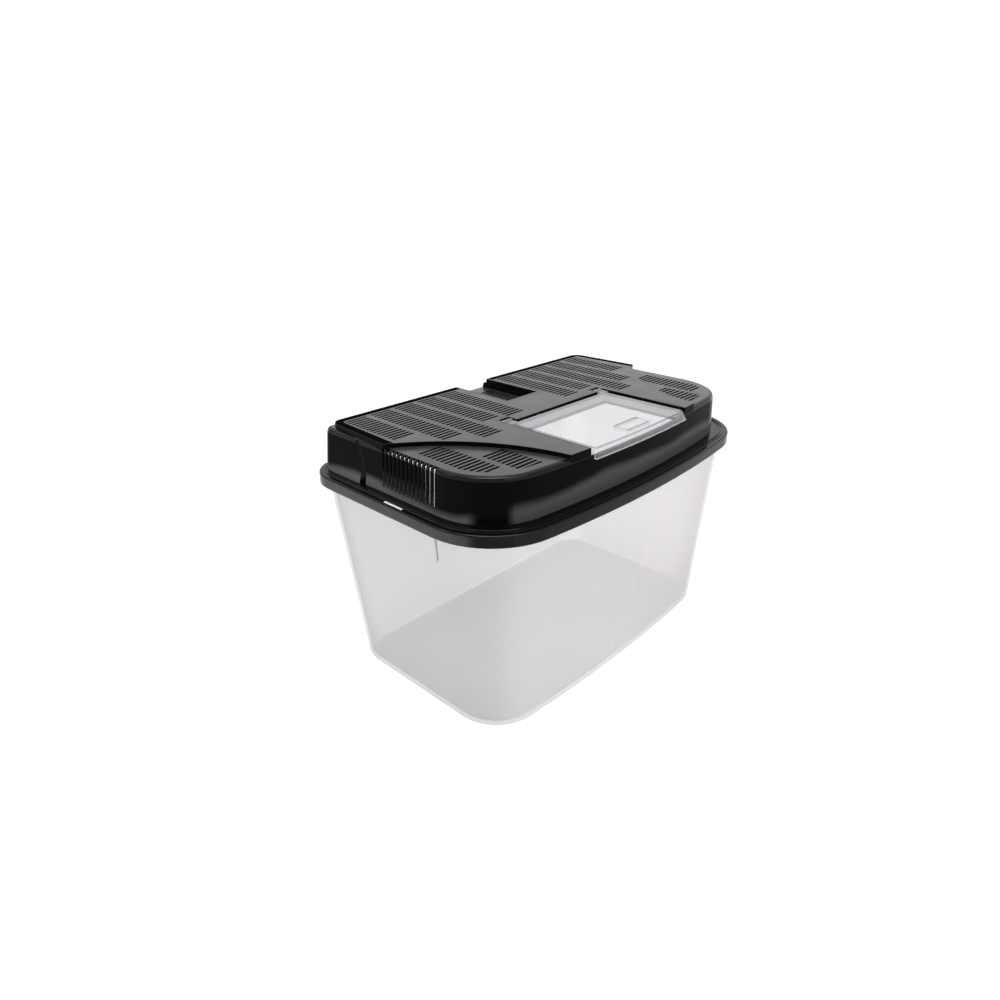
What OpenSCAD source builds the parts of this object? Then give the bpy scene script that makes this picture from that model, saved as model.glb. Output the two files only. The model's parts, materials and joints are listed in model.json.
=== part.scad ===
// Plastic pet keeper: a clear tapered tub, a black vented lid that snaps over its rim,
// and a clear feeding hatch that swings on stub pins moulded at its rear corners.
// The origin is the middle of the footprint, on the surface that the tub stands on.
// X runs along the length, -Y is the front, +Z is up.

/* [Lid rim] */
// Length over the lid's skirt
rim_length = 360; // [345:1:380]
// Depth over the lid's skirt, front bulge included
rim_depth = 225.2; // [215:0.2:235]
// Corner radius of the skirt at the front
rim_front_r = 61.6; // [52:0.2:68]
// Corner radius of the skirt at the rear
rim_rear_r = 30; // [26:0.5:36]
// How far the front edge bulges forward between its corners
front_bow = 6.5; // [4:0.1:9]
// Height of the skirt's lower edge above the table
skirt_bottom = 173.5; // [160:0.5:190]
// Height of the skirt
skirt_height = 9.6; // [8:0.1:13]
// Wall of the skirt
skirt_wall = 1.8; // [1.4:0.1:2.4]
// Thickness of the ledge between skirt and hood
ledge_t = 2; // [1.6:0.1:2.6]
// Rounding of the skirt's upper edge
skirt_round = 1.6; // [1:0.1:1.8]
// Height of the two raised beads that run round the ledge
bead_height = 0.8; // [0.4:0.1:1.2]
// Width of each bead
bead_width = 1.1; // [0.8:0.1:1.4]
// Distance of the outer bead from the outside of the skirt
bead_inset = 4.4; // [4.2:0.1:5]
// Distance from the outer bead to the inner one
bead_pitch = 2.5; // [2.2:0.1:3]
// Where the small boss on each end's ledge stands
boss_y = 38.3; // [30:0.1:45]
// Radius of that boss
boss_r = 1.4; // [1:0.1:1.8]
// Height of that boss
boss_height = 1.1; // [1:0.1:1.6]

/* [Lid hood] */
// Height from the ledge to the lower deck
hood_height = 35.5; // [30:0.5:45]
// Wall of the hood and its decks
lid_wall = 2; // [1.6:0.1:2.4]
// Width of the ledge outside the hood, at the ends
ledge_end = 13; // [11:0.5:15]
// Width of the ledge outside the hood, at the front
ledge_front = 14.6; // [12:0.2:16]
// Width of the ledge outside the hood, at the rear
ledge_rear = 10.6; // [9:0.2:13]
// Corner radius of the hood at the front
hood_front_r = 53; // [45:0.5:58]
// Corner radius of the hood at the rear
hood_rear_r = 10; // [9:0.5:14]
// How far the hood's sides lean in over their height
hood_lean = 1.6; // [0.8:0.1:2.4]
// Rounding of the shoulder between the hood's sides and its deck
shoulder_r = 3.6; // [2.5:0.1:4.5]
// How far the rear part of the hood stands proud at its foot
swell = 2.2; // [1:0.1:2.4]
// How far it stands proud below the shoulder
swell_top = 0.8; // [0.4:0.1:1.2]
// Where the proud rear part begins
swell_y = 47.6; // [40:0.2:60]
// Radius of the curve that ends the proud part
swell_r = 28; // [20:0.5:30]
// Width of the slope by which the proud part ends
swell_slope = 9; // [2:0.5:10]

/* [Raised deck] */
// Step from the lower deck up to the raised deck
deck_step = 3.5; // [2.5:0.1:4.5]
// Gap between the hood's rear and the raised deck's rear edge
deck_rear_gap = 4; // [3.8:0.1:6]
// Gap between the hood's ends and the raised deck, at the rear
deck_end_gap = 3.6; // [2.6:0.1:5]
// Widening of the raised deck at each end, from the rear to the step
deck_taper = 3.7; // [2:0.1:4.5]
// Rounding of the raised deck's rear corners
deck_corner_r = 10; // [6:0.5:13]
// Radius of the curved step on each side
step_r = 162; // [130:1:220]
// Where the curved step meets the front, from the middle
step_front_x = 86.5; // [80:0.5:95]
// Where the curved step meets the ends
step_end_y = 24; // [18:0.5:30]

/* [Air slots] */
// Length of a slot in the raised deck
slot_length = 20.4; // [16:0.2:22]
// Width of every slot
slot_width = 2.2; // [1.6:0.1:2.8]
// Distance from one slot to the next
slot_pitch = 4.56; // [4:0.02:5.2]
// Distance from one column of slots to the next
column_pitch = 25.56; // [24:0.02:27]
// Sideways shift of all the columns
column_shift = -2.8; // [-3.4:0.1:3.4]
// Margin from the raised deck's rear edge to the first slot's middle
slot_rear_margin = 11.5; // [9:0.1:14]
// Slots in each column, from the middle outwards
slot_rows = [19, 18, 24, 20, 14];
// Length of a slot in the lower decks
cheek_slot_length = 22.4; // [18:0.2:24]
// Margin between the hood's edge and the slots of the lower decks
cheek_margin = 10.3; // [9:0.1:13]
// Middle of the outer block of lower slots, from the hood's end
cheek_outer_x = 23.9; // [22:0.1:26]
// Sideways shift of the lower slots
cheek_shift = -1.5; // [-2:0.1:2]
// Distance between the two blocks of lower slots
cheek_block_pitch = 27.8; // [25:0.2:29]
// First row of the outer block
cheek_outer_y = -4.4; // [-8:0.2:0]
// Rows in the outer block
cheek_outer_rows = 14; // [10:1:15]
// First row of the inner block
cheek_inner_y = -42.7; // [-46:0.1:-40]
// Rows in the inner block
cheek_inner_rows = 9; // [6:1:9]
// Number of upright slots in each end
vent_count = 13; // [9:1:13]
// Middle of the row of upright slots
vent_y = -3.9; // [-8:0.1:0]
// Distance from one upright slot to the next
vent_pitch = 4.68; // [4.2:0.02:5]
// Height of the upright slots' lower end above the ledge
vent_bottom = 4.9; // [3:0.1:8]
// How far the upright slots reach onto the lower deck
vent_reach = 3.4; // [2.4:0.1:4.4]
// Wall at the foremost upright slot; it gets thicker towards the rear
vent_wall = 1.7; // [1.5:0.05:1.8]

/* [Hose notch] */
// Width of the notch at the rear
notch_width = 39.8; // [30:0.2:42]
// Length of the notch, from the raised deck's rear edge
notch_length = 64.5; // [50:0.5:68]
// Depth of the notch below the raised deck
notch_depth = 9; // [7:0.2:11]

/* [Hatch] */
// Width of the recess that the hatch lies in
well_width = 134.2; // [124:0.2:136]
// Sideways shift of the recess and the hatch
well_shift = 2.3; // [-3:0.1:3]
// Where the recess begins, from the middle of the lid
well_rear_y = -9.5; // [-12:0.1:-8]
// Depth of the ledge that the hatch rests on, below the raised deck
seat_depth = 9.6; // [9.2:0.1:12]
// Depth of the hood's front wall under the hatch, below the raised deck
sill_depth = 6.5; // [6.4:0.1:7]
// Width of the ledge at the sides and the rear
seat_width = 5; // [4:0.1:8]
// Width of the ledge at the front, measured from the hood's foot
seat_front = 8; // [6:0.1:12]
// Depth of the hatch's upper face below the raised deck
hatch_drop = 1.1; // [0.8:0.1:1.8]
// Thickness of the hatch's plate
hatch_t = 2; // [1.6:0.1:2.2]
// Thickness of the hatch's walls
hatch_wall = 1.8; // [1.4:0.1:2.2]
// How far each side of the hatch leans in towards its top
hatch_lean = 2.6; // [1.6:0.1:3]
// How far the front of the hatch leans back towards its top
hatch_front_lean = 3.6; // [2:0.1:4.2]
// Gap between the foot of the hatch and the sides of its recess
hatch_gap = 1.9; // [1:0.1:2.4]
// Gap between the foot of the hatch and the rear of its recess
hatch_rear_gap = 1.2; // [1:0.1:1.6]
// Gap under the hatch
seat_gap = 0.3; // [0.3:0.1:0.6]
// Gap between the hatch's lip and the hood's front
lip_gap = 0.6; // [0.5:0.1:1.2]
// Corner radius of the hatch at the front
hatch_corner_r = 2.5; // [2.4:0.1:5]
// Width of the finger grip
grip_width = 33; // [26:1:40]
// Depth of the finger grip, front to back
grip_depth = 15; // [12:0.5:18]
// Height of the finger grip
grip_height = 1.8; // [1:0.1:2.4]
// Width of the finger grip's ridge
grip_wall = 1.6; // [1.2:0.1:2]
// Distance from the hood's foot back to the finger grip
grip_front = 6; // [4:0.5:12]

/* [Hatch hinge] */
// Radius of the hinge pins
pin_r = 2; // [1.5:0.1:2.2]
// Radial clearance of a pin in its bore
pin_clearance = 0.08; // [0.04:0.01:0.1]
// Radius of the hinge arms round the pins
arm_r = 2.8; // [2.6:0.1:3]
// Width of each hinge arm
arm_width = 10; // [8:0.5:12]
// Gap between a hinge arm and the side of the recess
arm_gap = 0.4; // [0.3:0.1:0.8]
// Distance from the hinge line to the hatch's rear edge
hinge_reach = 7.9; // [7.4:0.1:8.4]
// Clearance round the arms in their pockets
pocket_gap = 1.4; // [1:0.1:2]

/* [Tub] */
// Length of the base
base_length = 315; // [300:1:325]
// Depth of the base
base_depth = 183.2; // [175:0.2:190]
// Corner radius of the base at the front
base_front_r = 41.4; // [35:0.2:48]
// Corner radius of the base at the rear
base_rear_r = 26; // [22:0.5:30]
// Forward bulge of the base's front edge
base_bow = 4.3; // [3:0.1:6]
// Gap between the skirt's outside and the tub's wall, at the top
tub_inset = 6.8; // [6:0.1:8]
// Wall of the tub
tub_wall = 2.2; // [1.8:0.1:2.8]
// Thickness of the floor
floor_t = 2.6; // [2:0.1:3.2]
// Rounding of the base's edge
base_round = 3.5; // [2.5:0.1:5]
// Thickness of the lip round the tub's mouth
mouth_t = 2; // [1.6:0.1:2.4]
// Gap between tub and lid
fit_gap = 0.3; // [0.3:0.05:0.5]
// Length of the catch tongue at each end
tongue_length = 20.6; // [16:0.2:24]
// Thickness of the catch tongue
tongue_t = 1.9; // [1.3:0.1:2]
// Middle of the catch tongues
tongue_y = 1.3; // [-4:0.1:6]
// Radius of the gate mark in the floor
gate_r = 6; // [4:0.5:8]
// Height of the gate mark
gate_height = 0.6; // [0.3:0.1:1]
// Length of the hooked ribs on the inside of the ends
rib_length = 32; // [24:1:40]
// Width of a hooked rib
rib_width = 1.2; // [1:0.1:2]
// Where the hooked ribs stand
rib_y = -36; // [-38:0.5:-25]
// Radius of the hook at a rib's lower end
hook_r = 6.5; // [4:0.5:9]

/* [Hidden] */

// Thickness of the thin slices that the tapered shells are spanned between
slice = 0.02;
// Overrun of a cut past the face that it goes through
over = 1;
// Share of a rounding's radius at which its middle facet meets
round_mid = 0.3;
// Turn of the recess behind the upright slots
vent_turn = 1.1;
// Segments of a front corner, the bulged front and a rear corner
front_segments = 12;
bow_segments = 8;
rear_segments = 7;

ledge_top = skirt_bottom + skirt_height;
ledge_bottom = ledge_top - ledge_t;
hood_top = ledge_top + hood_height;
deck_top = hood_top + deck_step;
deck_bottom = deck_top - lid_wall;
// The raised deck's front lies this far behind the hood's
deck_inset = 0.3;

front_y = -rim_depth / 2;
rear_y = rim_depth / 2;
hood_front_y = front_y + ledge_front;
hood_rear_y = rear_y - ledge_rear;
deck_rear_y = hood_rear_y - hood_lean - deck_rear_gap;
deck_half = rim_length / 2 - ledge_end - hood_lean - deck_end_gap;
hood_half_top = rim_length / 2 - ledge_end - hood_lean;
first_row_y = deck_rear_y - slot_rear_margin + slot_width / 2;

hatch_top = deck_top - hatch_drop;
hatch_bottom = hatch_top - hatch_t;
seat_top = deck_top - seat_depth;
seat_bottom = seat_top - lid_wall;
sill_top = deck_top - sill_depth;
hatch_foot = seat_top + seat_gap;
well_half = well_width / 2;
hatch_half = well_half - hatch_gap;
hatch_foot_rear = well_rear_y - hatch_rear_gap;
hatch_rear_lean = hatch_lean / 2;
hatch_rear_y = hatch_foot_rear - hatch_rear_lean;
hatch_sill_share = (sill_top - hatch_foot) / (hatch_top - hatch_foot);
sill_clearance = 1;
hinge_y = hatch_rear_y + hinge_reach;
hinge_z = deck_top - arm_r;
arm_outer_x = well_half - arm_gap;
pin_end = well_half + lid_wall - fit_gap;
pocket_rear_y = hinge_y + arm_r + pocket_gap;
pocket_inner_x = arm_outer_x - arm_width - pocket_gap;
pocket_floor = hinge_z - arm_r - pocket_gap / 2;
opening_half = well_half - seat_width;
opening_rear_y = well_rear_y - seat_width;
opening_front_y = hood_front_y + seat_front;
grip_y = hood_front_y + grip_front + grip_depth / 2;
grip_r = 2.5;

notch_half = notch_width / 2;
notch_front_y = deck_rear_y - notch_length;
notch_floor = deck_top - notch_depth;

tub_height = ledge_bottom - fit_gap;
mouth_inset = skirt_wall + fit_gap;
tongue_outer_x = rim_length / 2 - mouth_inset;

// Middle of the curved step's circle: it passes through the step's two ends
step_a = [step_front_x, hood_front_y + hood_lean + lid_wall];
step_b = [hood_half_top, step_end_y];
step_chord = norm(step_b - step_a);
step_normal = [step_b.y - step_a.y, step_a.x - step_b.x] / step_chord;
step_centre = (step_a + step_b) / 2 + step_normal * sqrt(step_r * step_r - step_chord * step_chord / 4);

// Points along an arc about c, from angle a0 to a1
function arc(c, r, a0, a1, n) =
    [for (i = [0:n]) let (a = a0 + (a1 - a0) * i / n) c + r * [cos(a), sin(a)]];

// Value between a and b
function mix(a, b, k) = a + (b - a) * k;

// The keeper's plan shape: straight rear and ends, bulged front, rounded corners, moved in by t
function plan(len, yf, yr, rf, rr, bow, t) =
    let (
        a = len / 2 - rf,
        big_r = (a * a + bow * bow) / (2 * bow),
        big_c = [0, yf + big_r],
        corner_y = big_c.y - sqrt(pow(big_r - rf, 2) - a * a),
        phi = asin(a / (big_r - rf)),
        b = len / 2 - rr
    )
    concat(
        arc([b, yr - rr], rr - t, 0, 90, rear_segments),
        arc([-b, yr - rr], rr - t, 90, 180, rear_segments),
        arc([-a, corner_y], rf - t, 180, 270 - phi, front_segments),
        [for (i = [1:bow_segments - 1]) big_c
            + (big_r - t) * [cos(270 - phi + 2 * phi * i / bow_segments),
                             sin(270 - phi + 2 * phi * i / bow_segments)]],
        arc([a, corner_y], rf - t, 270 + phi, 360, front_segments)
    );

function rim_plan(t) = plan(rim_length, front_y, rear_y, rim_front_r, rim_rear_r, front_bow, t);

// Plan of the hood at its foot (k = 0) and at its top (k = 1)
function hood_plan(k, t) =
    plan(rim_length - 2 * ledge_end, hood_front_y, hood_rear_y,
         hood_front_r, hood_rear_r, front_bow, t + hood_lean * k);

// Plan of the tub's wall at height z
function tub_plan(z, t) =
    let (k = z / tub_height)
    plan(mix(base_length, rim_length - 2 * tub_inset, k),
         mix(-base_depth / 2, front_y + tub_inset, k),
         mix(base_depth / 2, rear_y - tub_inset, k),
         mix(base_front_r, rim_front_r - tub_inset, k),
         mix(base_rear_r, rim_rear_r - tub_inset, k),
         mix(base_bow, front_bow, k), t);

module slab(z, h, points) {
    translate([0, 0, z]) linear_extrude(h) polygon(points);
}

module prism(z0, z1) {
    translate([0, 0, z0]) linear_extrude(z1 - z0) children();
}

module both_ends() {
    children();
    mirror([1, 0, 0]) children();
}

// ---- Tub ----

// The tub's tapered body, moved in by t, from height z0 to z1, with a rounded lower edge
module tub_body(t, z0, z1) {
    hull() {
        slab(z0, slice, tub_plan(z0, t + base_round));
        slab(z0 + round_mid * base_round, slice, tub_plan(z0, t + round_mid * base_round));
        slab(z0 + base_round, slice, tub_plan(z0 + base_round, t));
        slab(z1 - slice, slice, tub_plan(tub_height, t));
    }
}

module catch_tongue() {
    translate([tongue_outer_x - tongue_t, tongue_y - tongue_length / 2, tub_height - mouth_t])
        cube([tongue_t, tongue_length, ledge_top - tub_height + mouth_t]);
}

// Side view of a hooked rib: straight, then a quarter turn at its lower end
module hook_profile() {
    translate([0, -rib_length]) square([rib_width, rib_length]);
    intersection() {
        translate([hook_r, -rib_length]) difference() {
            circle(r = hook_r, $fn = 48);
            circle(r = hook_r - rib_width, $fn = 48);
        }
        translate([0, -rib_length - hook_r]) square([hook_r, hook_r]);
    }
}

module hooked_rib() {
    lean = atan((rim_length / 2 - tub_inset - base_length / 2) / tub_height);
    wall_x = rim_length / 2 - tub_inset - tub_wall;
    translate([wall_x, rib_y, tub_height])
        rotate([0, lean, 0])
            translate([-rib_width, 0, 0])
                rotate([90, 0, 90])
                    linear_extrude(rib_width + tub_wall / 2) hook_profile();
}

module tub() {
    color([0.86, 0.87, 0.9, 0.45]) {
        difference() {
            union() {
                tub_body(0, 0, tub_height);
                slab(tub_height - mouth_t, mouth_t, rim_plan(mouth_inset));
            }
            tub_body(tub_wall, floor_t, tub_height + over);
        }
        translate([0, 0, floor_t]) cylinder(r = gate_r, h = gate_height, $fn = 48);
        both_ends() {
            catch_tongue();
            hooked_rib();
        }
    }
}

// ---- Lid: skirt and ledge ----

module skirt_body() {
    hull() {
        slab(skirt_bottom, slice, rim_plan(0));
        slab(ledge_top - skirt_round, slice, rim_plan(0));
        slab(ledge_top - round_mid * skirt_round, slice, rim_plan(round_mid * skirt_round));
        slab(ledge_top - slice, slice, rim_plan(skirt_round));
    }
}

module catch_window() {
    translate([tongue_outer_x - tongue_t - fit_gap, tongue_y - tongue_length / 2 - fit_gap, ledge_bottom - over])
        cube([tongue_t + 2 * fit_gap, tongue_length + 2 * fit_gap, ledge_t + 2 * over]);
}

// Small boss on the ledge, between the two beads
module ledge_boss() {
    inset = bead_inset + (bead_pitch + bead_width) / 2;
    translate([rim_length / 2 - inset, boss_y, ledge_top - slice])
        cylinder(r = boss_r, h = boss_height + slice, $fn = 32);
}

// A raised bead round the ledge, its outside moved in by t; it stops where the hood's rear corners cover it
module bead(t) {
    prism(ledge_top - slice, ledge_top + bead_height) difference() {
        polygon(rim_plan(t));
        polygon(rim_plan(t + bead_width));
        polygon(hood_plan(0, -swell));
    }
}

module lid_rim() {
    color([0.07, 0.07, 0.07]) {
        both_ends() ledge_boss();
        bead(bead_inset);
        bead(bead_inset + bead_pitch);
        difference() {
            skirt_body();
            slab(skirt_bottom - over, ledge_bottom - skirt_bottom + over, rim_plan(skirt_wall));
            slab(ledge_bottom - over, ledge_t + 2 * over, hood_plan(0, lid_wall));
            both_ends() catch_window();
        }
    }
}

// ---- Lid: hood ----

// The hood's body between ledge and shoulder; grow widens its foot, and grow_top its shoulder
module hood_core(grow, grow_top) {
    hull() {
        slab(ledge_top, slice, hood_plan(0, -grow));
        slab(hood_top - shoulder_r, slice, hood_plan(1, -grow_top));
        slab(hood_top - round_mid * shoulder_r, slice, hood_plan(1, round_mid * shoulder_r - grow_top));
        slab(hood_top - slice, slice, hood_plan(1, shoulder_r - grow_top));
    }
}

// Side view of the proud rear part, moved in by t: upright front end, curved over to the shoulder
module swell_slab(half, t) {
    curve = arc([swell_y + swell_r, hood_top - swell_r], swell_r - t, 180, 90, 10);
    rotate([90, 0, 90])
        linear_extrude(2 * half, center = true)
            polygon(concat([[rear_y, ledge_top - over], [swell_y + t, ledge_top - over]],
                           curve, [[rear_y, hood_top - t]]));
}

module swell_region() {
    hull() {
        swell_slab(hood_half_top, -swell_slope / 2);
        swell_slab(hood_half_top + hood_lean + swell, swell_slope / 2);
    }
}

module hood_body() {
    hood_core(0, 0);
    intersection() {
        hood_core(swell, swell_top);
        swell_region();
    }
}

module hood_cavity() {
    hull() {
        slab(ledge_top - over, slice, hood_plan(0, lid_wall));
        slab(hood_top - lid_wall - slice, slice, hood_plan(1, lid_wall));
    }
}

// Plan of the raised deck, moved in by t
module deck_shape(t) {
    spread = deck_taper * (deck_rear_y - front_y) / (deck_rear_y - step_end_y);
    corner = [deck_half - deck_corner_r, deck_rear_y - deck_corner_r];
    difference() {
        intersection() {
            polygon(hood_plan(1, t + deck_inset));
            polygon(concat(
                arc(corner, deck_corner_r - t, 0, 90, rear_segments),
                arc([-corner.x, corner.y], deck_corner_r - t, 90, 180, rear_segments),
                [[-deck_half - spread + t, front_y], [deck_half + spread - t, front_y]]));
        }
        for (side = [-1, 1])
            translate([side * step_centre.x, step_centre.y]) circle(r = step_r + t, $fn = 240);
    }
}

module end_vents() {
    for (i = [0:vent_count - 1])
        translate([hood_half_top - vent_reach, vent_y + (i - (vent_count - 1) / 2) * vent_pitch - slot_width / 2, ledge_top + vent_bottom])
            cube([vent_reach + 3 * hood_lean + swell, slot_width, hood_height]);
}

// Recess in the inside of each end that thins the wall behind the foremost upright slots
module vent_relief() {
    length = vent_count * vent_pitch;
    pivot = [hood_half_top, vent_y - length / 2, 0];
    intersection() {
        translate([hood_half_top - 2 * lid_wall, vent_y - length / 2, ledge_top + vent_bottom - over])
            cube([lid_wall * 3, length, hood_height - vent_bottom - lid_wall + over]);
        translate(pivot) rotate([0, 0, vent_turn]) translate(-pivot) hull() {
            slab(ledge_top - over, slice, hood_plan(0, vent_wall));
            slab(hood_top - lid_wall - slice, slice, hood_plan(1, vent_wall));
        }
    }
}

// One block of slots: first row at y0, counted towards the front
module slot_block(x, y0, rows, len) {
    for (i = [0:rows - 1])
        translate([x - len / 2, y0 - i * slot_pitch - slot_width / 2]) square([len, slot_width]);
}

module cheek_slots() {
    outer_x = hood_half_top - cheek_outer_x;
    inner_x = outer_x - cheek_block_pitch;
    intersection() {
        for (side = [-1, 1]) {
            slot_block(cheek_shift + side * outer_x, cheek_outer_y, cheek_outer_rows, cheek_slot_length);
            slot_block(cheek_shift + side * inner_x, cheek_inner_y, cheek_inner_rows, cheek_slot_length);
        }
        polygon(hood_plan(1, cheek_margin));
    }
}

module lid_hood() {
    color([0.07, 0.07, 0.07]) {
        difference() {
            union() {
                difference() {
                    hood_body();
                    hood_cavity();
                    prism(hood_top - 2 * lid_wall, hood_top + over) deck_shape(lid_wall);
                }
                prism(hood_top - 2 * lid_wall, hood_top) difference() {
                    deck_shape(0);
                    deck_shape(lid_wall);
                    seat_outline(lid_wall);
                }
            }
            prism(hood_top - 3 * lid_wall, hood_top + over) cheek_slots();
            both_ends() {
                end_vents();
                vent_relief();
            }
            prism(sill_top, hood_top + over) seat_outline(lid_wall);
            prism(notch_floor - lid_wall, hood_top + over) notch_outline(lid_wall);
        }
    }
}

// ---- Lid: raised deck ----

module deck_slots() {
    for (side = [-1, 1])
        for (k = [0:len(slot_rows) - 1]) {
            x = column_shift + side * (k + 1.5) * column_pitch;
            if (abs(x) + slot_length / 2 < deck_half - lid_wall)
                slot_block(x, first_row_y, slot_rows[k], slot_length);
        }
}

module lid_deck() {
    color([0.09, 0.09, 0.09]) {
        prism(deck_bottom, deck_top) difference() {
            deck_shape(0);
            seat_outline(lid_wall);
            notch_outline(lid_wall);
            deck_slots();
        }
        prism(hood_top, deck_bottom) difference() {
            deck_shape(0);
            deck_shape(lid_wall);
            seat_outline(lid_wall);
            notch_outline(lid_wall);
        }
    }
}

// ---- Lid: hatch seat ----

// Plan of the two hinge pockets, moved out by t
module pocket_shape(t) {
    for (side = [-1, 1])
        translate([well_shift + side * (well_half + pocket_inner_x) / 2, (well_rear_y + pocket_rear_y) / 2])
            square([well_half - pocket_inner_x + 2 * t, pocket_rear_y - well_rear_y + 2 * t], center = true);
}

// Plan of the recess for the hatch, moved out by t
module well_shape(t) {
    translate([well_shift - well_half - t, front_y])
        square([2 * (well_half + t), well_rear_y + t - front_y]);
}

module seat_outline(t) {
    well_shape(t);
    pocket_shape(t);
}

module opening_shape() {
    translate([well_shift - opening_half, opening_front_y])
        square([2 * opening_half, opening_rear_y - opening_front_y]);
}

module hinge_bore() {
    translate([well_half - over, hinge_y, hinge_z])
        rotate([0, 90, 0])
            cylinder(r = pin_r + pin_clearance, h = lid_wall + 2 * over, $fn = 48);
}

// The lid's outside by the recess: leans like the hood up to its shoulder, then ends with the deck
module recess_block() {
    hull() {
        slab(ledge_top, slice, hood_plan(0, 0));
        slab(hood_top - shoulder_r, slice, hood_plan(1, 0));
        slab(hood_top, slice, hood_plan(1, deck_inset));
    }
}

module hatch_seat() {
    color([0.08, 0.08, 0.08]) {
        difference() {
            union() {
                prism(hood_top, deck_top) intersection() {
                    seat_outline(lid_wall);
                    polygon(hood_plan(1, deck_inset));
                }
                intersection() {
                    prism(sill_top, hood_top) seat_outline(lid_wall);
                    recess_block();
                }
                intersection() {
                    prism(seat_bottom, sill_top) well_shape(lid_wall);
                    hood_cavity();
                }
                prism(pocket_floor - lid_wall, sill_top) pocket_shape(lid_wall);
            }
            prism(seat_top, deck_top + over) well_shape(0);
            prism(seat_bottom - over, seat_top + over) opening_shape();
            prism(pocket_floor, deck_top + over) pocket_shape(0);
            translate([well_shift, 0, 0]) both_ends() hinge_bore();
        }
    }
}

// ---- Lid: hose notch ----

// Plan of the notch, open to the rear, moved out by t
module notch_outline(t) {
    translate([-notch_half - t, notch_front_y - t])
        square([2 * (notch_half + t), rear_y - notch_front_y + t]);
}

module notch_slots() {
    rows = floor((first_row_y - notch_front_y) / slot_pitch);
    intersection() {
        for (side = [-1, 1])
            slot_block(column_shift + side * column_pitch / 2, first_row_y, rows, slot_length);
        square([notch_width - 2 * lid_wall, 2 * rear_y], center = true);
    }
}

module hose_notch() {
    color([0.08, 0.08, 0.08]) {
        difference() {
            union() {
                intersection() {
                    prism(notch_floor - lid_wall, hood_top) notch_outline(lid_wall);
                    hood_core(swell, swell_top);
                }
                prism(hood_top, deck_top) intersection() {
                    notch_outline(lid_wall);
                    deck_shape(0);
                }
            }
            prism(notch_floor, deck_top + over) notch_outline(0);
            prism(notch_floor - lid_wall - over, notch_floor + over) notch_slots();
        }
    }
}

// ---- Hatch ----

// Where the hood's front lies at x, moved out by t
function front_at(x, t) =
    let (
        a = rim_length / 2 - ledge_end - hood_front_r,
        big_r = (a * a + front_bow * front_bow) / (2 * front_bow)
    )
    hood_front_y + big_r - sqrt(pow(big_r - hood_lean + t, 2) - x * x);

// How far the hatch's outside lies in front of the hood's top, at share k of the hatch's height
function hatch_reach(k) = lip_gap + hatch_wall + hatch_front_lean * (hatch_sill_share - k);

// Plan of the hatch at its foot (k = 0) and its top (k = 1), moved in by t: its front follows the hood's
module hatch_plan(k, t) {
    half = hatch_half - hatch_lean * k - t;
    rear = hatch_foot_rear - hatch_rear_lean * k - t;
    r = hatch_corner_r - t;
    intersection() {
        polygon(hood_plan(1, t - hatch_reach(k)));
        translate([well_shift + r - half, front_y]) square([2 * (half - r), rear - front_y]);
    }
    for (side = [-1, 1]) {
        corner_x = well_shift + side * (half - r);
        corner_y = front_at(corner_x, hatch_reach(k) - t) + r;
        translate([corner_x, corner_y]) circle(r = r, $fn = 48);
        translate([corner_x + side * r / 2, (corner_y + rear) / 2])
            square([r, rear - corner_y], center = true);
    }
}

// The hatch's drafted body, moved in by t, from height z0 to z1
module hatch_body(t, z0, z1) {
    hull() {
        prism(z0, z0 + slice) hatch_plan((z0 - hatch_foot) / (hatch_top - hatch_foot), t);
        prism(z1 - slice, z1) hatch_plan((z1 - hatch_foot) / (hatch_top - hatch_foot), t);
    }
}

// Room for the hood's front wall under the hatch
module sill_slot() {
    prism(hatch_foot - over, sill_top + seat_gap) difference() {
        polygon(hood_plan(1, -lip_gap));
        polygon(hood_plan(1, lid_wall + sill_clearance));
    }
}

module rounded_bar(w, d, r) {
    square([w, d - 2 * r], center = true);
    square([w - 2 * r, d], center = true);
    for (x = [-1, 1])
        for (y = [-1, 1])
            translate([x * (w / 2 - r), y * (d / 2 - r)]) circle(r = r, $fn = 32);
}

module finger_grip() {
    prism(hatch_top - slice, hatch_top + grip_height) translate([well_shift, grip_y]) difference() {
        rounded_bar(grip_width, grip_depth, grip_r);
        rounded_bar(grip_width - 2 * grip_wall, grip_depth - 2 * grip_wall, grip_r - grip_wall);
    }
}

module hinge_arm() {
    translate([arm_outer_x - arm_width, hatch_rear_y - hatch_wall, hatch_bottom])
        cube([arm_width, hinge_reach + hatch_wall, hatch_t]);
    translate([arm_outer_x - arm_width, hinge_y, hinge_z])
        rotate([0, 90, 0])
            cylinder(r = arm_r, h = arm_width, $fn = 48);
    translate([arm_outer_x - over, hinge_y, hinge_z])
        rotate([0, 90, 0])
            cylinder(r = pin_r, h = pin_end - arm_outer_x + over, $fn = 48);
}

module hatch() {
    color([0.92, 0.92, 0.95, 0.5]) {
        difference() {
            hatch_body(0, hatch_foot, hatch_top);
            hatch_body(hatch_wall, hatch_foot - over, hatch_bottom);
            sill_slot();
        }
        finger_grip();
        translate([well_shift, 0, 0]) both_ends() hinge_arm();
    }
}

tub();
lid_rim();
lid_hood();
lid_deck();
hatch_seat();
hose_notch();
hatch();
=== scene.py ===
import json
import math

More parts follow.
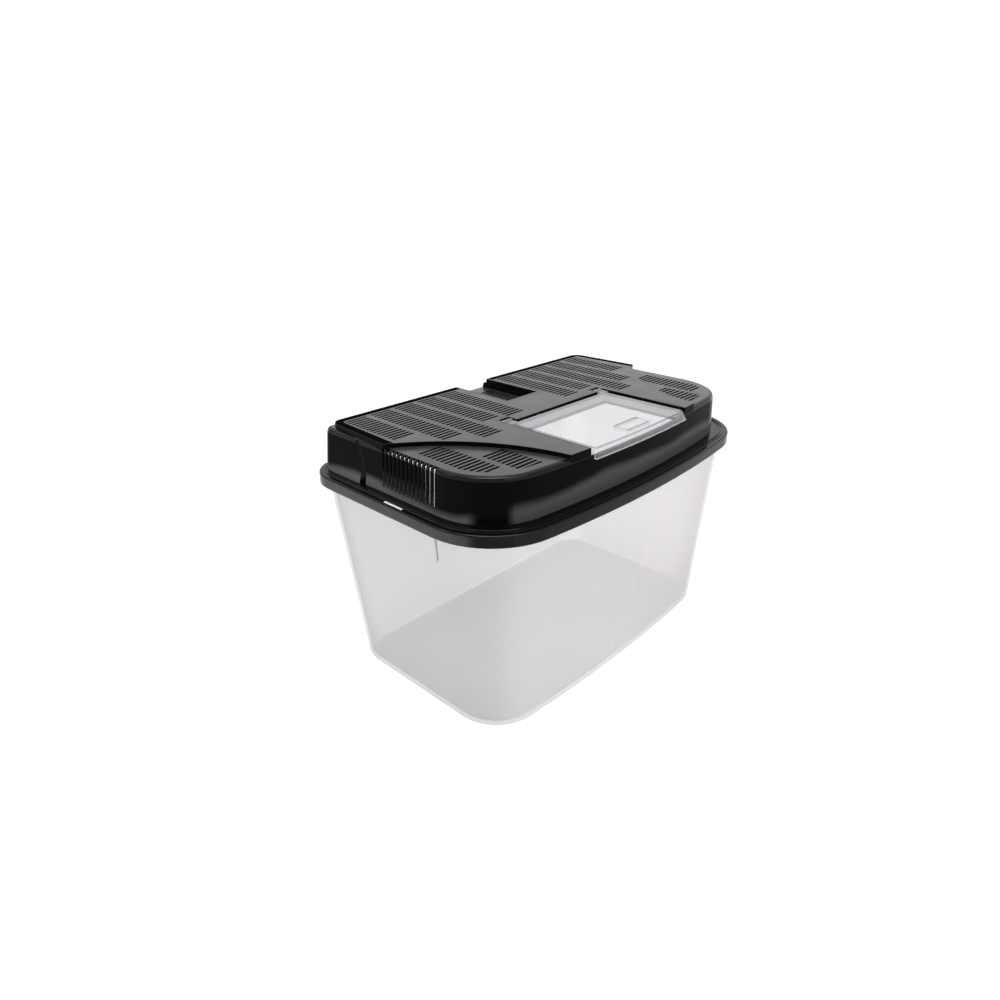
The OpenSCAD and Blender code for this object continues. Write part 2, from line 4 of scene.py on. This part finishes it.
import bpy
import numpy
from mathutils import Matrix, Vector

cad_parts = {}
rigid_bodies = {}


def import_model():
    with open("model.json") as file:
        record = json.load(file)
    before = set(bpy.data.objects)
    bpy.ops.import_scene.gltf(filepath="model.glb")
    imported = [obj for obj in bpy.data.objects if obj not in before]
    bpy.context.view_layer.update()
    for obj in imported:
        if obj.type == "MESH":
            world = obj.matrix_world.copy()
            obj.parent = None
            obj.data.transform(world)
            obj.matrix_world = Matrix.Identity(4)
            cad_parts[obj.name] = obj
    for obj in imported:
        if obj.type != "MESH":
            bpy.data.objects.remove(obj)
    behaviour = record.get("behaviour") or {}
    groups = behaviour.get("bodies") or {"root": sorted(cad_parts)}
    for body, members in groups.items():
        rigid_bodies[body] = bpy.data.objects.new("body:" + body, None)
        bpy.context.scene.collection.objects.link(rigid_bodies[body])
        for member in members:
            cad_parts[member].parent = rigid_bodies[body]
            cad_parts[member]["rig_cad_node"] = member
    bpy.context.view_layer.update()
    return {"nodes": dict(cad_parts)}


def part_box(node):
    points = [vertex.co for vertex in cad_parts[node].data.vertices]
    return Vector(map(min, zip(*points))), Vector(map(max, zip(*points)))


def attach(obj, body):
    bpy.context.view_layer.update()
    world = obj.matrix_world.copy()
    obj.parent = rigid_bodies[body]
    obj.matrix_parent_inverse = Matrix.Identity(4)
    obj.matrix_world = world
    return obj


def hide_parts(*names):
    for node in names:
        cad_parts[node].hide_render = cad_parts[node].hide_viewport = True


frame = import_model()

MM = 0.001

# ---------------------------------------------------------------- sizes

# Roundings of the edges
TUB_EDGE_R = 0.3 * MM
LID_EDGE_R = 0.22 * MM
HATCH_EDGE_R = 0.2 * MM
HATCH_TOP_R = 1.0 * MM
HATCH_FOOT_R = 0.6 * MM

# The share of the lid's rounding that is left between the upright slots, and where these slots are
VENT_SHARE = 0.2
VENT_X = 160 * MM
VENT_Y = -3.9 * MM
VENT_REACH = 30 * MM

# Points closer than WELD are merged, and heights closer than SAME_HEIGHT count as one
WELD = 0.03 * MM
SAME_HEIGHT = 0.1 * MM

# Faces that meet at less than FLAT_ANGLE become one, edges over SHARP_ANGLE are rounded, and edges under
# SMOOTH_ANGLE are shaded smooth
FLAT_ANGLE = math.radians(0.05)
SHARP_ANGLE = math.radians(35)
SMOOTH_ANGLE = math.radians(28)

# A face narrower than NECK_ROOM roundings gets smaller ones. It is narrow where its outline folds back on
# itself: where the way along the outline is NECK_TURN times the way across. The width is measured at
# NECK_SAMPLES of each side's length, and TINY keeps a side of no length from dividing by zero
NECK_ROOM = 2.6
NECK_TURN = 1.7
NECK_SAMPLES = (0.02, 0.25, 0.5, 0.75, 0.98)
TINY = 1e-18

# Heights of the keeper's parts
FLOOR_Z = 4 * MM
SKIRT_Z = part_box("lid_rim")[0][2]
LEDGE_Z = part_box("lid_hood")[0][2]
DECK_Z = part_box("lid_deck")[1][2]
TONGUE_Z = LEDGE_Z - 2 * MM
HATCH_FOOT_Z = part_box("hatch")[0][2]
HATCH_TOP_Z = DECK_Z - 1.1 * MM
HATCH_LINE_Z = HATCH_TOP_Z - 1.2 * MM
GRIP_Z = HATCH_TOP_Z + SAME_HEIGHT

# The hooked rib on the inside of each end of the tub
RIB_X = 171.5 * MM
RIB_Y = -33.5 * MM
RIB_REACH = 4.5 * MM
RIB_LOW = 138 * MM

# The hatch: the middle and half the width of its foot, the foot's bowed front, the grip and the arms
HATCH_X = 2.3 * MM
HATCH_HALF = 64.3 * MM
FOOT_FRONT = -99.1 * MM
FOOT_BOW = 0.5
GRIP_FRONT = -93 * MM
GRIP_REAR = -76 * MM
GRIP_REACH = 20 * MM
ARM_Y = -11 * MM

# The raised deck's outline, which gets wider towards the front, and the band along it that is painted deep
# black as shade
DECK_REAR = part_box("lid_deck")[1][1]
DECK_HALF = 161.8 * MM
DECK_CORNER_R = 10 * MM
DECK_SPREAD = 0.0477
DECK_CORNER_X = DECK_HALF - DECK_CORNER_R + DECK_SPREAD * (DECK_REAR - DECK_CORNER_R)
DECK_CORNER_Y = DECK_REAR - DECK_CORNER_R
DARK_BORDER = 7 * MM
DARK_BORDER_BLUR = 0.3 * MM

# The slope by which the proud rear part of the hood ends, whose faces are painted deep black as a dark
# reflection
SLOPE_X = 150 * MM
SLOPE_Y = 30 * MM

# Upward parts of a face's normal: below UPRIGHT on an upright face, above a LEVEL on a level one, and in
# between on a rounded one, from ROUNDED on
UPRIGHT = 0.35
LID_ROUNDED = 0.2
LID_LEVEL = 0.93
FOOT_ROUNDED = 0.3
HATCH_LEVEL = 0.97
FLOOR_LEVEL = 0.9
SLOPE_LEVEL = 0.9

# Sideways parts of a face's normal: of the slope, of the rib's front and rear, and of the hatch's edges
SLOPE_FRONT = (-0.8, -0.03)
RIB_FACING = 0.5
EDGE_FACING = 0.1

# The camera's place, where it looks, and its lens
CAMERA_PLACE = Vector((-479.04, -390.45, 410.24)) * MM
CAMERA_AZIMUTH = math.radians(-46.808)
CAMERA_ELEVATION = math.radians(24.524)
CAMERA_LENS = 26.315
CAMERA_SENSOR = 36


# ---------------------------------------------------------------- shader nodes

STYRENE_IOR = 1.55
CLEAR_IOR = 1.5
# The deep black that painted shade darkens towards: on the lid's corners and front, and on the band along
# the raised deck's edges
PAINTED_SHADE_BLACK = (0.003, 0.003, 0.003)

# Noises: scale per metre, detail and roughness. Most values lie between NOISE_LOW and NOISE_HIGH
HAZE = (45, 4, 0.6)
RIPPLE = (12, 1, 0.3)
WAVER = (14, 1, 0.4)
CLOUD = (9, 3, 0.5)
NOISE_LOW = 0.3
NOISE_HIGH = 0.7

# What the noises change: shares of a roughness, a relief, a height and a share of a colour
HAZE_SHARES = (0.75, 1.3)
RIPPLE_DEPTH = 0.4 * MM
RIPPLE_STRENGTH = 0.25
WAVER_REACH = 3 * MM
CLOUD_SHADE = 0.985

# How sharply clear plastic turns denser where it is seen edge on
EDGE_BLEND = 0.3

# Where a wall's normal turns: its Y to the front, its X times Y through a corner, and its X to an end
FRONT_TURN = (-0.2, -1)
CORNER_TURN = (0.36, 0.47)
END_TURN = (0.3, 0.95)


def new_material(name):
    material = bpy.data.materials.new(name)
    material.use_nodes = True
    nodes = material.node_tree.nodes
    nodes.clear()
    output = nodes.new("ShaderNodeOutputMaterial")
    return material, nodes, material.node_tree.links, output.inputs["Surface"]


def feed(links, socket, value):
    """Links a socket to another one, or sets it to a number or a colour."""
    if isinstance(value, bpy.types.NodeSocket):
        links.new(value, socket)
    else:
        socket.default_value = value


def work_out(nodes, links, operation, *values):
    """A Math node on up to three numbers or sockets."""
    node = nodes.new("ShaderNodeMath")
    node.operation = operation
    for socket, value in zip(node.inputs, values):
        feed(links, socket, value)
    return node.outputs["Value"]


def own_parts(nodes, links, output):
    """The X, Y and Z of the place (Object) or the surface's normal (Normal), on the piece's own axes."""
    place = nodes.new("ShaderNodeTexCoord")
    split = nodes.new("ShaderNodeSeparateXYZ")
    links.new(place.outputs[output], split.inputs["Vector"])
    return split.outputs


def noise(nodes, links, kind):
    """Noise that stays with the piece, whatever its pose."""
    place = nodes.new("ShaderNodeTexCoord")
    texture = nodes.new("ShaderNodeTexNoise")
    for name, value in zip(("Scale", "Detail", "Roughness"), kind):
        texture.inputs[name].default_value = value
    links.new(place.outputs["Object"], texture.inputs["Vector"])
    return texture.outputs["Fac"]


def straight_ramp(nodes, links, value, start, end, low, high):
    """Low where the value is start, high where it is end."""
    ramp = nodes.new("ShaderNodeMapRange")
    for name, number in zip(("From Min", "From Max", "To Min", "To Max"), (start, end, low, high)):
        ramp.inputs[name].default_value = number
    links.new(value, ramp.inputs["Value"])
    return ramp.outputs["Result"]


def noise_between(nodes, links, kind, low, high):
    """Noise that goes from low to high."""
    value = noise(nodes, links, kind)
    return straight_ramp(nodes, links, value, NOISE_LOW, NOISE_HIGH, low, high)


def smooth_ramp(nodes, links, value, start, end, top=1.0):
    """0 where the value is start, top where it is end, with soft turns."""
    result = straight_ramp(nodes, links, value, start, end, 0, top)
    result.node.interpolation_type = "SMOOTHSTEP"
    return result


def blend_colour(nodes, links, share, first, second):
    """The first colour where the share is 0, the second where it is 1."""
    mix = nodes.new("ShaderNodeMix")
    mix.data_type = "RGBA"
    links.new(share, mix.inputs["Factor"])
    feed(links, mix.inputs["A"], first)
    feed(links, mix.inputs["B"], second)
    return mix.outputs["Result"]


def blend_shader(nodes, links, share, first, second):
    """The first shader where the share is 0, the second where it is 1."""
    mix = nodes.new("ShaderNodeMixShader")
    links.new(share, mix.inputs["Fac"])
    links.new(first, mix.inputs[1])
    links.new(second, mix.inputs[2])
    return mix.outputs["Shader"]


def opaque(colour, share=1.0):
    """A colour times a share, as a colour socket takes it."""
    return (*(share * part for part in colour), 1)


# ---------------------------------------------------------------- black plastic

def front_share(nodes, links, top):
    """0 on the ends, top on the front."""
    return smooth_ramp(nodes, links, own_parts(nodes, links, "Normal")["Y"], *FRONT_TURN, top)


def painted_shade_share(nodes, links, front_painted_shade):
    """The share of painted shade: 0 on the ends, the share given for the front on the front, 1 where an
    upright wall turns through a corner.
    """
    normal = own_parts(nodes, links, "Normal")
    turn = work_out(nodes, links, "MULTIPLY", normal["X"], normal["Y"])
    turn = work_out(nodes, links, "ABSOLUTE", turn)
    corner = smooth_ramp(nodes, links, turn, *CORNER_TURN)
    return work_out(nodes, links, "MAXIMUM", corner, front_share(nodes, links, front_painted_shade))


def above_foot_reflection(nodes, links, low, high, lift):
    """The share of a wall above its painted floor reflection: 0 below the height low, 1 above high, both
    lift higher on the front, with a wavering edge.
    """
    waver = noise_between(nodes, links, WAVER, -WAVER_REACH, WAVER_REACH)
    height = work_out(nodes, links, "ADD", own_parts(nodes, links, "Object")["Z"], waver)
    height = work_out(nodes, links, "SUBTRACT", height, front_share(nodes, links, lift))
    return smooth_ramp(nodes, links, height, low, high)


def black_plastic(name, colour, roughness, specular, foot=None, front_painted_shade=0.0):
    """Moulded black styrene: a faint flow ripple, handling haze, and painted shade that darkens the
    corners where an upright wall turns.

    A foot is a lighter lower part, a painted reflection of the floor: its colour, the heights between
    which it fades, and how much higher these are on the front. The front is painted nearer to deep black,
    as shade, by the share given for the front."""
    material, nodes, links, surface = new_material(name)
    shade = opaque(colour)
    if foot:
        reflection_colour, low, high, lift = foot
        above = above_foot_reflection(nodes, links, low, high, lift)
        shade = blend_colour(nodes, links, above, opaque(reflection_colour), shade)
    # Painted shade: the corners where an upright wall turns, and the front, are darkened towards deep
    # black
    painted_shade = painted_shade_share(nodes, links, front_painted_shade)
    shade = blend_colour(nodes, links, painted_shade, shade, opaque(PAINTED_SHADE_BLACK))
    shader = nodes.new("ShaderNodeBsdfPrincipled")
    links.new(shade, shader.inputs["Base Color"])
    shader.inputs["IOR"].default_value = STYRENE_IOR
    shader.inputs["Specular IOR Level"].default_value = specular
    haze = noise_between(nodes, links, HAZE, *(share * roughness for share in HAZE_SHARES))
    links.new(haze, shader.inputs["Roughness"])
    ripple = nodes.new("ShaderNodeBump")
    ripple.inputs["Strength"].default_value = RIPPLE_STRENGTH
    ripple.inputs["Distance"].default_value = RIPPLE_DEPTH
    links.new(noise(nodes, links, RIPPLE), ripple.inputs["Height"])
    links.new(ripple.outputs["Normal"], shader.inputs["Normal"])
    links.new(shader.outputs["BSDF"], surface)
    return material


def dark_border_share(nodes, links):
    """1 on the band of painted shade along the raised deck's rear and end edges, 0 inside it."""
    place = own_parts(nodes, links, "Object")
    side = work_out(nodes, links, "ABSOLUTE", place["X"])
    side = work_out(nodes, links, "MULTIPLY_ADD", place["Y"], DECK_SPREAD, side)
    past_corner = nodes.new("ShaderNodeCombineXYZ")
    for axis, value, corner in (("X", side, DECK_CORNER_X), ("Y", place["Y"], DECK_CORNER_Y)):
        past = work_out(nodes, links, "SUBTRACT", value, corner)
        links.new(work_out(nodes, links, "MAXIMUM", past, 0), past_corner.inputs[axis])
    length = nodes.new("ShaderNodeVectorMath")
    length.operation = "LENGTH"
    links.new(past_corner.outputs["Vector"], length.inputs[0])
    inner = DECK_CORNER_R - DARK_BORDER
    return smooth_ramp(nodes, links, length.outputs["Value"], inner - DARK_BORDER_BLUR, inner + DARK_BORDER_BLUR)


def paint_dark_border(material):
    """Paints the band along the raised deck's edges deep black, as painted shade."""
    nodes = material.node_tree.nodes
    links = material.node_tree.links
    surface = nodes["Material Output"].inputs["Surface"]
    plain = surface.links[0].from_socket
    painted_dark = nodes.new("ShaderNodeBsdfPrincipled")
    painted_dark.inputs["Base Color"].default_value = opaque(PAINTED_SHADE_BLACK)
    painted_dark.inputs["Specular IOR Level"].default_value = 0
    border = dark_border_share(nodes, links)
    links.new(blend_shader(nodes, links, border, plain, painted_dark.outputs["BSDF"]), surface)


# Painted reflection of the floor: the hood's walls turn lighter towards their foot, and this reaches
# higher on the front
HOOD_FOOT_REFLECTION = ((0.145, 0.141, 0.138), LEDGE_Z + 1 * MM, LEDGE_Z + 9 * MM, 9 * MM)
HOOD_WALL = black_plastic("hood_wall", (0.004, 0.004, 0.0038), roughness=0.12, specular=0.015,
                          foot=HOOD_FOOT_REFLECTION, front_painted_shade=0.42)
# Painted dark reflection: the slope faces stay deep black, without the lighter foot of the walls
HOOD_SLOPE_DARK_REFLECTION = black_plastic("hood_slope_dark_reflection", (0.002, 0.002, 0.002), roughness=0.12, specular=0.03)
LID_EDGE = black_plastic("lid_edge", (0.006, 0.006, 0.006), roughness=0.1, specular=0.12)
# Painted reflection: the tops are a lighter grey than the near-black walls of the same plastic, for the
# bright studio they reflect
LID_TOP = black_plastic("lid_top", (0.026, 0.025, 0.027), roughness=0.28, specular=0.5)
DECK_TOP = black_plastic("deck_top", (0.026, 0.025, 0.027), roughness=0.28, specular=0.5)
# The band along the raised deck's rear and end edges is painted deep black, as shade
paint_dark_border(DECK_TOP)
# Painted reflection of the floor: the skirt turns a little lighter low down
SKIRT_FOOT_REFLECTION = ((0.065, 0.063, 0.063), SKIRT_Z, LEDGE_Z, 0)
# Painted reflection: the skirt is a lighter grey than the ledge of the same moulding, for the white floor
# it reflects
SKIRT = black_plastic("skirt", (0.06, 0.058, 0.058), roughness=0.12, specular=0.11,
                      foot=SKIRT_FOOT_REFLECTION, front_painted_shade=0.95)
LEDGE = black_plastic("ledge", (0.003, 0.003, 0.003), roughness=0.06, specular=0.15)


# ---------------------------------------------------------------- clear plastic

def clear_plastic(name, colour, thin, thick, roughness, ends=1.0):
    """Clear styrene with a milky haze: thin is what a wall seen square on hides, thick what an edge hides.

    The two ends of the piece are painted darker, as shade: they have the colour times ends."""
    material, nodes, links, surface = new_material(name)
    cloud = noise_between(nodes, links, CLOUD, 0, 1)
    shade = blend_colour(nodes, links, cloud, opaque(colour, CLOUD_SHADE), opaque(colour))
    side = work_out(nodes, links, "ABSOLUTE", own_parts(nodes, links, "Normal")["X"])
    # Painted shade: faces turned to the two ends are darkened by the share ends
    end_shade_share = smooth_ramp(nodes, links, side, *END_TURN)
    shade = blend_colour(nodes, links, end_shade_share, shade, opaque(colour, ends))
    shader = nodes.new("ShaderNodeBsdfPrincipled")
    links.new(shade, shader.inputs["Base Color"])
    shader.inputs["IOR"].default_value = CLEAR_IOR
    shader.inputs["Roughness"].default_value = roughness
    edge = nodes.new("ShaderNodeLayerWeight")
    edge.inputs["Blend"].default_value = EDGE_BLEND
    body = straight_ramp(nodes, links, edge.outputs["Facing"], 0, 1, thin, thick)
    links.new(body, shader.inputs["Alpha"])
    links.new(shader.outputs["BSDF"], surface)
    return material


# The tub's ends are painted darker, as shade
TUB_CLEAR = clear_plastic("tub_clear", (0.84, 0.79, 0.82), thin=0.14, thick=0.6, roughness=0.08, ends=0.66)
TUB_FLOOR = clear_plastic("tub_floor", (0.62, 0.66, 0.66), thin=0.2, thick=0.6, roughness=0.08)
# Painted dark reflection: the rib's faces are dark grey, for the black lid seen in them
TUB_RIB_DARK_REFLECTION = clear_plastic("tub_rib_dark_reflection", (0.12, 0.12, 0.12), thin=0.6, thick=0.9, roughness=0.1)
# Painted highlight: the tub's tongue, up under the lid, is near white
TONGUE_HIGHLIGHT = clear_plastic("tub_tongue_highlight", (0.95, 0.95, 0.95), thin=0.9, thick=0.95, roughness=0.1)
HATCH_CLEAR = clear_plastic("hatch_clear", (0.58, 0.56, 0.58), thin=0.08, thick=0.55, roughness=0.06)
# Painted light: the hatch's upright walls are whiter and milkier than its plate
HATCH_WALL_LIGHT = clear_plastic("hatch_wall", (0.9, 0.88, 0.91), thin=0.3, thick=0.6, roughness=0.06)
# Painted reflection: dark violet lines along the clear hatch's edges
HATCH_EDGE_REFLECTION = clear_plastic("hatch_edge_reflection", (0.17, 0.17, 0.28), thin=0.55, thick=0.8, roughness=0.1)
HATCH_GLINT = clear_plastic("hatch_glint", (0.97, 0.97, 0.97), thin=0.9, thick=0.95, roughness=0.1)


# ---------------------------------------------------------------- softened edges

def select_only(piece):
    bpy.ops.object.select_all(action="DESELECT")
    piece.select_set(True)
    bpy.context.view_layer.objects.active = piece


def outline_necks(points, reach):
    """How far each side of a face is from the parts of its outline that fold back on it, up to reach."""
    count = len(points)
    sides = numpy.roll(points, -1, axis=0) - points
    lengths = numpy.linalg.norm(sides, axis=1)
    starts = numpy.concatenate(([0], numpy.cumsum(lengths)[:-1]))
    around = lengths.sum()
    order = numpy.arange(count)
    apart = (order[:, None] - order[None, :]) % count
    apart = (apart > 1) & (apart < count - 1)
    clearance = numpy.full(count, reach)
    for share in NECK_SAMPLES:
        samples = points + sides * share
        offset = samples[:, None, :] - points[None, :, :]
        along = (offset * sides[None, :, :]).sum(2) / numpy.maximum(lengths ** 2, TINY)[None, :]
        along = numpy.clip(along, 0, 1)
        gap = numpy.linalg.norm(offset - along[:, :, None] * sides[None, :, :], axis=2)
        leave = (starts + lengths * share)[:, None]
        arrive = starts[None, :] + along * lengths[None, :]
        travel = numpy.abs(leave - arrive)
        travel = numpy.minimum(travel, around - travel)
        gap = numpy.where(apart & (travel > NECK_TURN * gap), gap, reach)
        clearance = numpy.minimum(clearance, numpy.minimum(gap.min(1), gap.min(0)))
    return clearance


def weigh_edges(piece, width, share):
    """Gives each sharp edge a bevel weight: its share of the width, less where a face is narrow."""
    mesh = piece.data
    normals = {}
    room = {}
    reach = NECK_ROOM * width
    for face in mesh.polygons:
        points = numpy.array([mesh.vertices[index].co for index in face.vertices])
        for key, clear in zip(face.edge_keys, outline_necks(points, reach)):
            normals.setdefault(key, []).append(face.normal)
            room[key] = min(room.get(key, reach), clear)
    weights = mesh.attributes.get("bevel_weight_edge")
    if weights is None:
        weights = mesh.attributes.new("bevel_weight_edge", "FLOAT", "EDGE")
    for edge in mesh.edges:
        key = tuple(sorted(edge.vertices))
        sharp = len(normals[key]) == 2 and normals[key][0].angle(normals[key][1]) > SHARP_ANGLE
        part = share([mesh.vertices[index].co for index in edge.vertices])
        weights.data[edge.index].value = part * room[key] / reach if sharp else 0.0


def round_edges(piece, width):
    """Rounds the edges that carry a bevel weight."""
    rounding = piece.modifiers.new("soft edges", "BEVEL")
    rounding.width = width
    rounding.segments = 2
    rounding.limit_method = "WEIGHT"
    rounding.use_clamp_overlap = False
    select_only(piece)
    bpy.ops.object.modifier_apply(modifier=rounding.name)


def everywhere(ends):
    """The full rounding on every edge."""
    return 1


def on_hood(ends):
    """The full rounding, but less between the upright slots, whose ribs are crisp."""
    vents = all(abs(end.x) > VENT_X and abs(end.y - VENT_Y) < VENT_REACH for end in ends)
    return VENT_SHARE if vents else 1


def on_hatch_top(ends):
    """On the outline of the hatch's plate: not on the grip, and not on the hinge arms."""
    level = all(abs(end.z - HATCH_TOP_Z) < SAME_HEIGHT and end.y < ARM_Y for end in ends)
    return level and not any(abs(end.x) < GRIP_REACH and GRIP_FRONT < end.y < GRIP_REAR for end in ends)


def on_hatch_foot(ends):
    """On the outer edge of the hatch's foot, at its bowed front or its sides."""
    level = all(abs(end.z - HATCH_FOOT_Z) < SAME_HEIGHT for end in ends)
    return level and all(end.y < FOOT_FRONT + FOOT_BOW * end.x ** 2 or abs(end.x - HATCH_X) > HATCH_HALF
                         for end in ends)


# ---------------------------------------------------------------- mouldings

def moulding(node, name, body, roundings, material):
    """A welded copy of a CAD node with softened edges, which stands for that node."""
    select_only(frame["nodes"][node])
    bpy.ops.object.duplicate()
    piece = bpy.context.active_object
    piece.name = name
    piece.data.name = name
    del piece["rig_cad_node"]
    bpy.ops.object.mode_set(mode="EDIT")
    bpy.ops.mesh.select_all(action="SELECT")
    bpy.ops.mesh.remove_doubles(threshold=WELD)
    bpy.ops.mesh.dissolve_limited(angle_limit=FLAT_ANGLE)
    bpy.ops.object.mode_set(mode="OBJECT")
    for width, share in roundings:
        weigh_edges(piece, width, share)
        round_edges(piece, width)
    bpy.ops.object.shade_smooth_by_angle(angle=SMOOTH_ANGLE)
    flats = piece.modifiers.new("flat faces", "WEIGHTED_NORMAL")
    flats.keep_sharp = True
    bpy.ops.object.modifier_apply(modifier=flats.name)
    piece.data.materials.clear()
    piece.data.materials.append(material)
    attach(piece, body)
    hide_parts(node)
    return piece


def paint(piece, material, test):
    """Gives the material to the faces whose centre and normal pass the test. Later coats cover it."""
    if material.name not in piece.data.materials:
        piece.data.materials.append(material)
    index = piece.data.materials.find(material.name)
    for face in piece.data.polygons:
        if test(face.center, face.normal):
            face.material_index = index


def make_tub():
    tub = moulding("tub", "tub_shell", "tub", [(TUB_EDGE_R, everywhere)], TUB_CLEAR)
    # The rib's front and rear faces get the painted dark reflection
    paint(tub, TUB_RIB_DARK_REFLECTION, lambda centre, normal: abs(centre.x) < RIB_X and abs(centre.y - RIB_Y) < RIB_REACH
          and centre.z > RIB_LOW and abs(normal.y) > RIB_FACING)
    paint(tub, TUB_FLOOR, lambda centre, normal: centre.z < FLOOR_Z and abs(normal.z) > FLOOR_LEVEL)
    # The faces above the tongue height get the painted highlight
    paint(tub, TONGUE_HIGHLIGHT, lambda centre, normal: centre.z > TONGUE_Z)


def make_rim():
    rim = moulding("lid_rim", "lid_rim_moulding", "lid", [(LID_EDGE_R, everywhere)], LEDGE)
    # The upright faces get the skirt's lighter tone, a painted floor reflection
    paint(rim, SKIRT, lambda centre, normal: abs(normal.z) < UPRIGHT)


def make_lid_zone(node, share, top):
    """The hood, or another zone of the lid inside it."""
    zone = moulding(node, node + "_moulding", "lid", [(LID_EDGE_R, share)], HOOD_WALL)
    paint(zone, LID_EDGE, lambda centre, normal: LID_ROUNDED < normal.z <= LID_LEVEL)
    paint(zone, top, lambda centre, normal: normal.z > LID_LEVEL)
    # The slope faces get the deep black of a painted dark reflection
    paint(zone, HOOD_SLOPE_DARK_REFLECTION, lambda centre, normal: abs(centre.x) > SLOPE_X and centre.y > SLOPE_Y
          and SLOPE_FRONT[0] < normal.y < SLOPE_FRONT[1] and normal.z < SLOPE_LEVEL)


def make_hatch():
    roundings = [(HATCH_TOP_R, on_hatch_top), (HATCH_FOOT_R, on_hatch_foot), (HATCH_EDGE_R, everywhere)]
    hatch = moulding("hatch", "hatch_plate", "hatch", roundings, HATCH_CLEAR)

    def on_edge(centre, normal):
        return UPRIGHT < normal.z < HATCH_LEVEL and centre.z > HATCH_LINE_Z

    def on_foot(centre, normal):
        return -HATCH_LEVEL < normal.z < -FOOT_ROUNDED and centre.z < HATCH_FOOT_Z + HATCH_FOOT_R

    def on_grip(centre, normal):
        return normal.z < HATCH_LEVEL and centre.z > GRIP_Z

    # The upright walls get the painted light
    paint(hatch, HATCH_WALL_LIGHT, lambda centre, normal: abs(normal.z) < UPRIGHT and centre.z < HATCH_TOP_Z)
    paint(hatch, HATCH_GLINT, on_edge)
    paint(hatch, HATCH_GLINT, on_foot)
    # The rounded top edges facing front and left get the painted edge reflection
    paint(hatch, HATCH_EDGE_REFLECTION, lambda centre, normal: on_edge(centre, normal)
          and (normal.x < -EDGE_FACING or normal.y < -EDGE_FACING))
    paint(hatch, HATCH_CLEAR, on_grip)
    # The grip's rear faces get the painted edge reflection
    paint(hatch, HATCH_EDGE_REFLECTION, lambda centre, normal: on_grip(centre, normal) and normal.y > EDGE_FACING)


# ---------------------------------------------------------------- studio

# The floor lies just below the tub, looks white with a faint shadow, and throws light back as paper does
FLOOR_DROP = 0.2 * MM
FLOOR_WIDTH = 6
SHADOW_GREY = (0.3, 0.3, 0.3)
FLOOR_GLOW = 0.85
PAPER_WHITE = (0.9, 0.9, 0.9)

WHITE = (1, 1, 1)
WORLD_LIGHT = 0.5

# The point that the lamps are turned to
AIM = (0, 0, 0.1)


def backdrop(nodes, links, seen, unseen):
    """The shader seen for the camera, glosses and clear plastic, and unseen for all other light."""
    path = nodes.new("ShaderNodeLightPath")
    direct = work_out(nodes, links, "ADD", path.outputs["Is Camera Ray"], path.outputs["Is Glossy Ray"])
    direct = work_out(nodes, links, "ADD", direct, path.outputs["Is Transmission Ray"])
    direct.node.use_clamp = True
    return blend_shader(nodes, links, direct, unseen, seen)


def coloured(nodes, kind, colour):
    """A shader node of this kind and colour."""
    shader = nodes.new(kind)
    shader.inputs["Color"].default_value = opaque(colour)
    return shader


def make_floor():
    bpy.ops.object.select_all(action="DESELECT")
    bpy.ops.mesh.primitive_plane_add(size=FLOOR_WIDTH, location=(0, 0, -FLOOR_DROP))
    floor = bpy.context.active_object
    floor.name = "floor"
    material, nodes, links, surface = new_material("studio_floor")
    paper = coloured(nodes, "ShaderNodeBsdfDiffuse", PAPER_WHITE)
    shade = coloured(nodes, "ShaderNodeBsdfDiffuse", SHADOW_GREY)
    glow = coloured(nodes, "ShaderNodeEmission", WHITE)
    glow.inputs["Strength"].default_value = FLOOR_GLOW
    lit = nodes.new("ShaderNodeAddShader")
    links.new(shade.outputs["BSDF"], lit.inputs[0])
    links.new(glow.outputs["Emission"], lit.inputs[1])
    links.new(backdrop(nodes, links, lit.outputs["Shader"], paper.outputs["BSDF"]), surface)
    floor.data.materials.append(material)


def make_world():
    world = bpy.data.worlds.new("studio")
    bpy.context.scene.world = world
    world.use_nodes = True
    nodes = world.node_tree.nodes
    links = world.node_tree.links
    nodes.clear()
    surface = nodes.new("ShaderNodeOutputWorld").inputs["Surface"]
    white = coloured(nodes, "ShaderNodeBackground", WHITE)
    soft = coloured(nodes, "ShaderNodeBackground", WHITE)
    white.inputs["Strength"].default_value = 1
    soft.inputs["Strength"].default_value = WORLD_LIGHT
    links.new(backdrop(nodes, links, white.outputs["Background"], soft.outputs["Background"]), surface)


def make_softbox(name, place, size, power):
    """A rectangular lamp, in metres and watts."""
    light = bpy.data.lights.new(name, "AREA")
    light.shape = "RECTANGLE"
    light.size, light.size_y = size
    light.energy = power
    lamp = bpy.data.objects.new(name, light)
    lamp.location = place
    lamp.rotation_euler = (Vector(AIM) - Vector(place)).to_track_quat("-Z", "Y").to_euler()
    bpy.context.scene.collection.objects.link(lamp)


def make_camera():
    camera = bpy.data.objects.new("camera", bpy.data.cameras.new("camera"))
    camera.data.sensor_width = CAMERA_SENSOR
    camera.data.lens = CAMERA_LENS
    camera.location = CAMERA_PLACE
    camera.rotation_euler = (math.pi / 2 - CAMERA_ELEVATION, 0, CAMERA_AZIMUTH)
    bpy.context.scene.collection.objects.link(camera)
    bpy.context.scene.camera = camera


make_tub()
make_rim()
make_lid_zone("lid_hood", on_hood, LID_TOP)
make_lid_zone("lid_deck", everywhere, DECK_TOP)
make_lid_zone("hatch_seat", everywhere, LID_TOP)
make_lid_zone("hose_notch", everywhere, LID_TOP)
make_hatch()

make_floor()
make_world()
make_softbox("overhead", place=(0, 0.2, 1.4), size=(0.9, 0.5), power=11)
make_softbox("side", place=(-1.0, 0.5, 0.9), size=(0.25, 0.7), power=4.5)
make_softbox("front", place=(-0.2, -1.4, 0.9), size=(1.0, 0.8), power=6)
make_camera()
bpy.context.scene.view_settings.view_transform = "Standard"
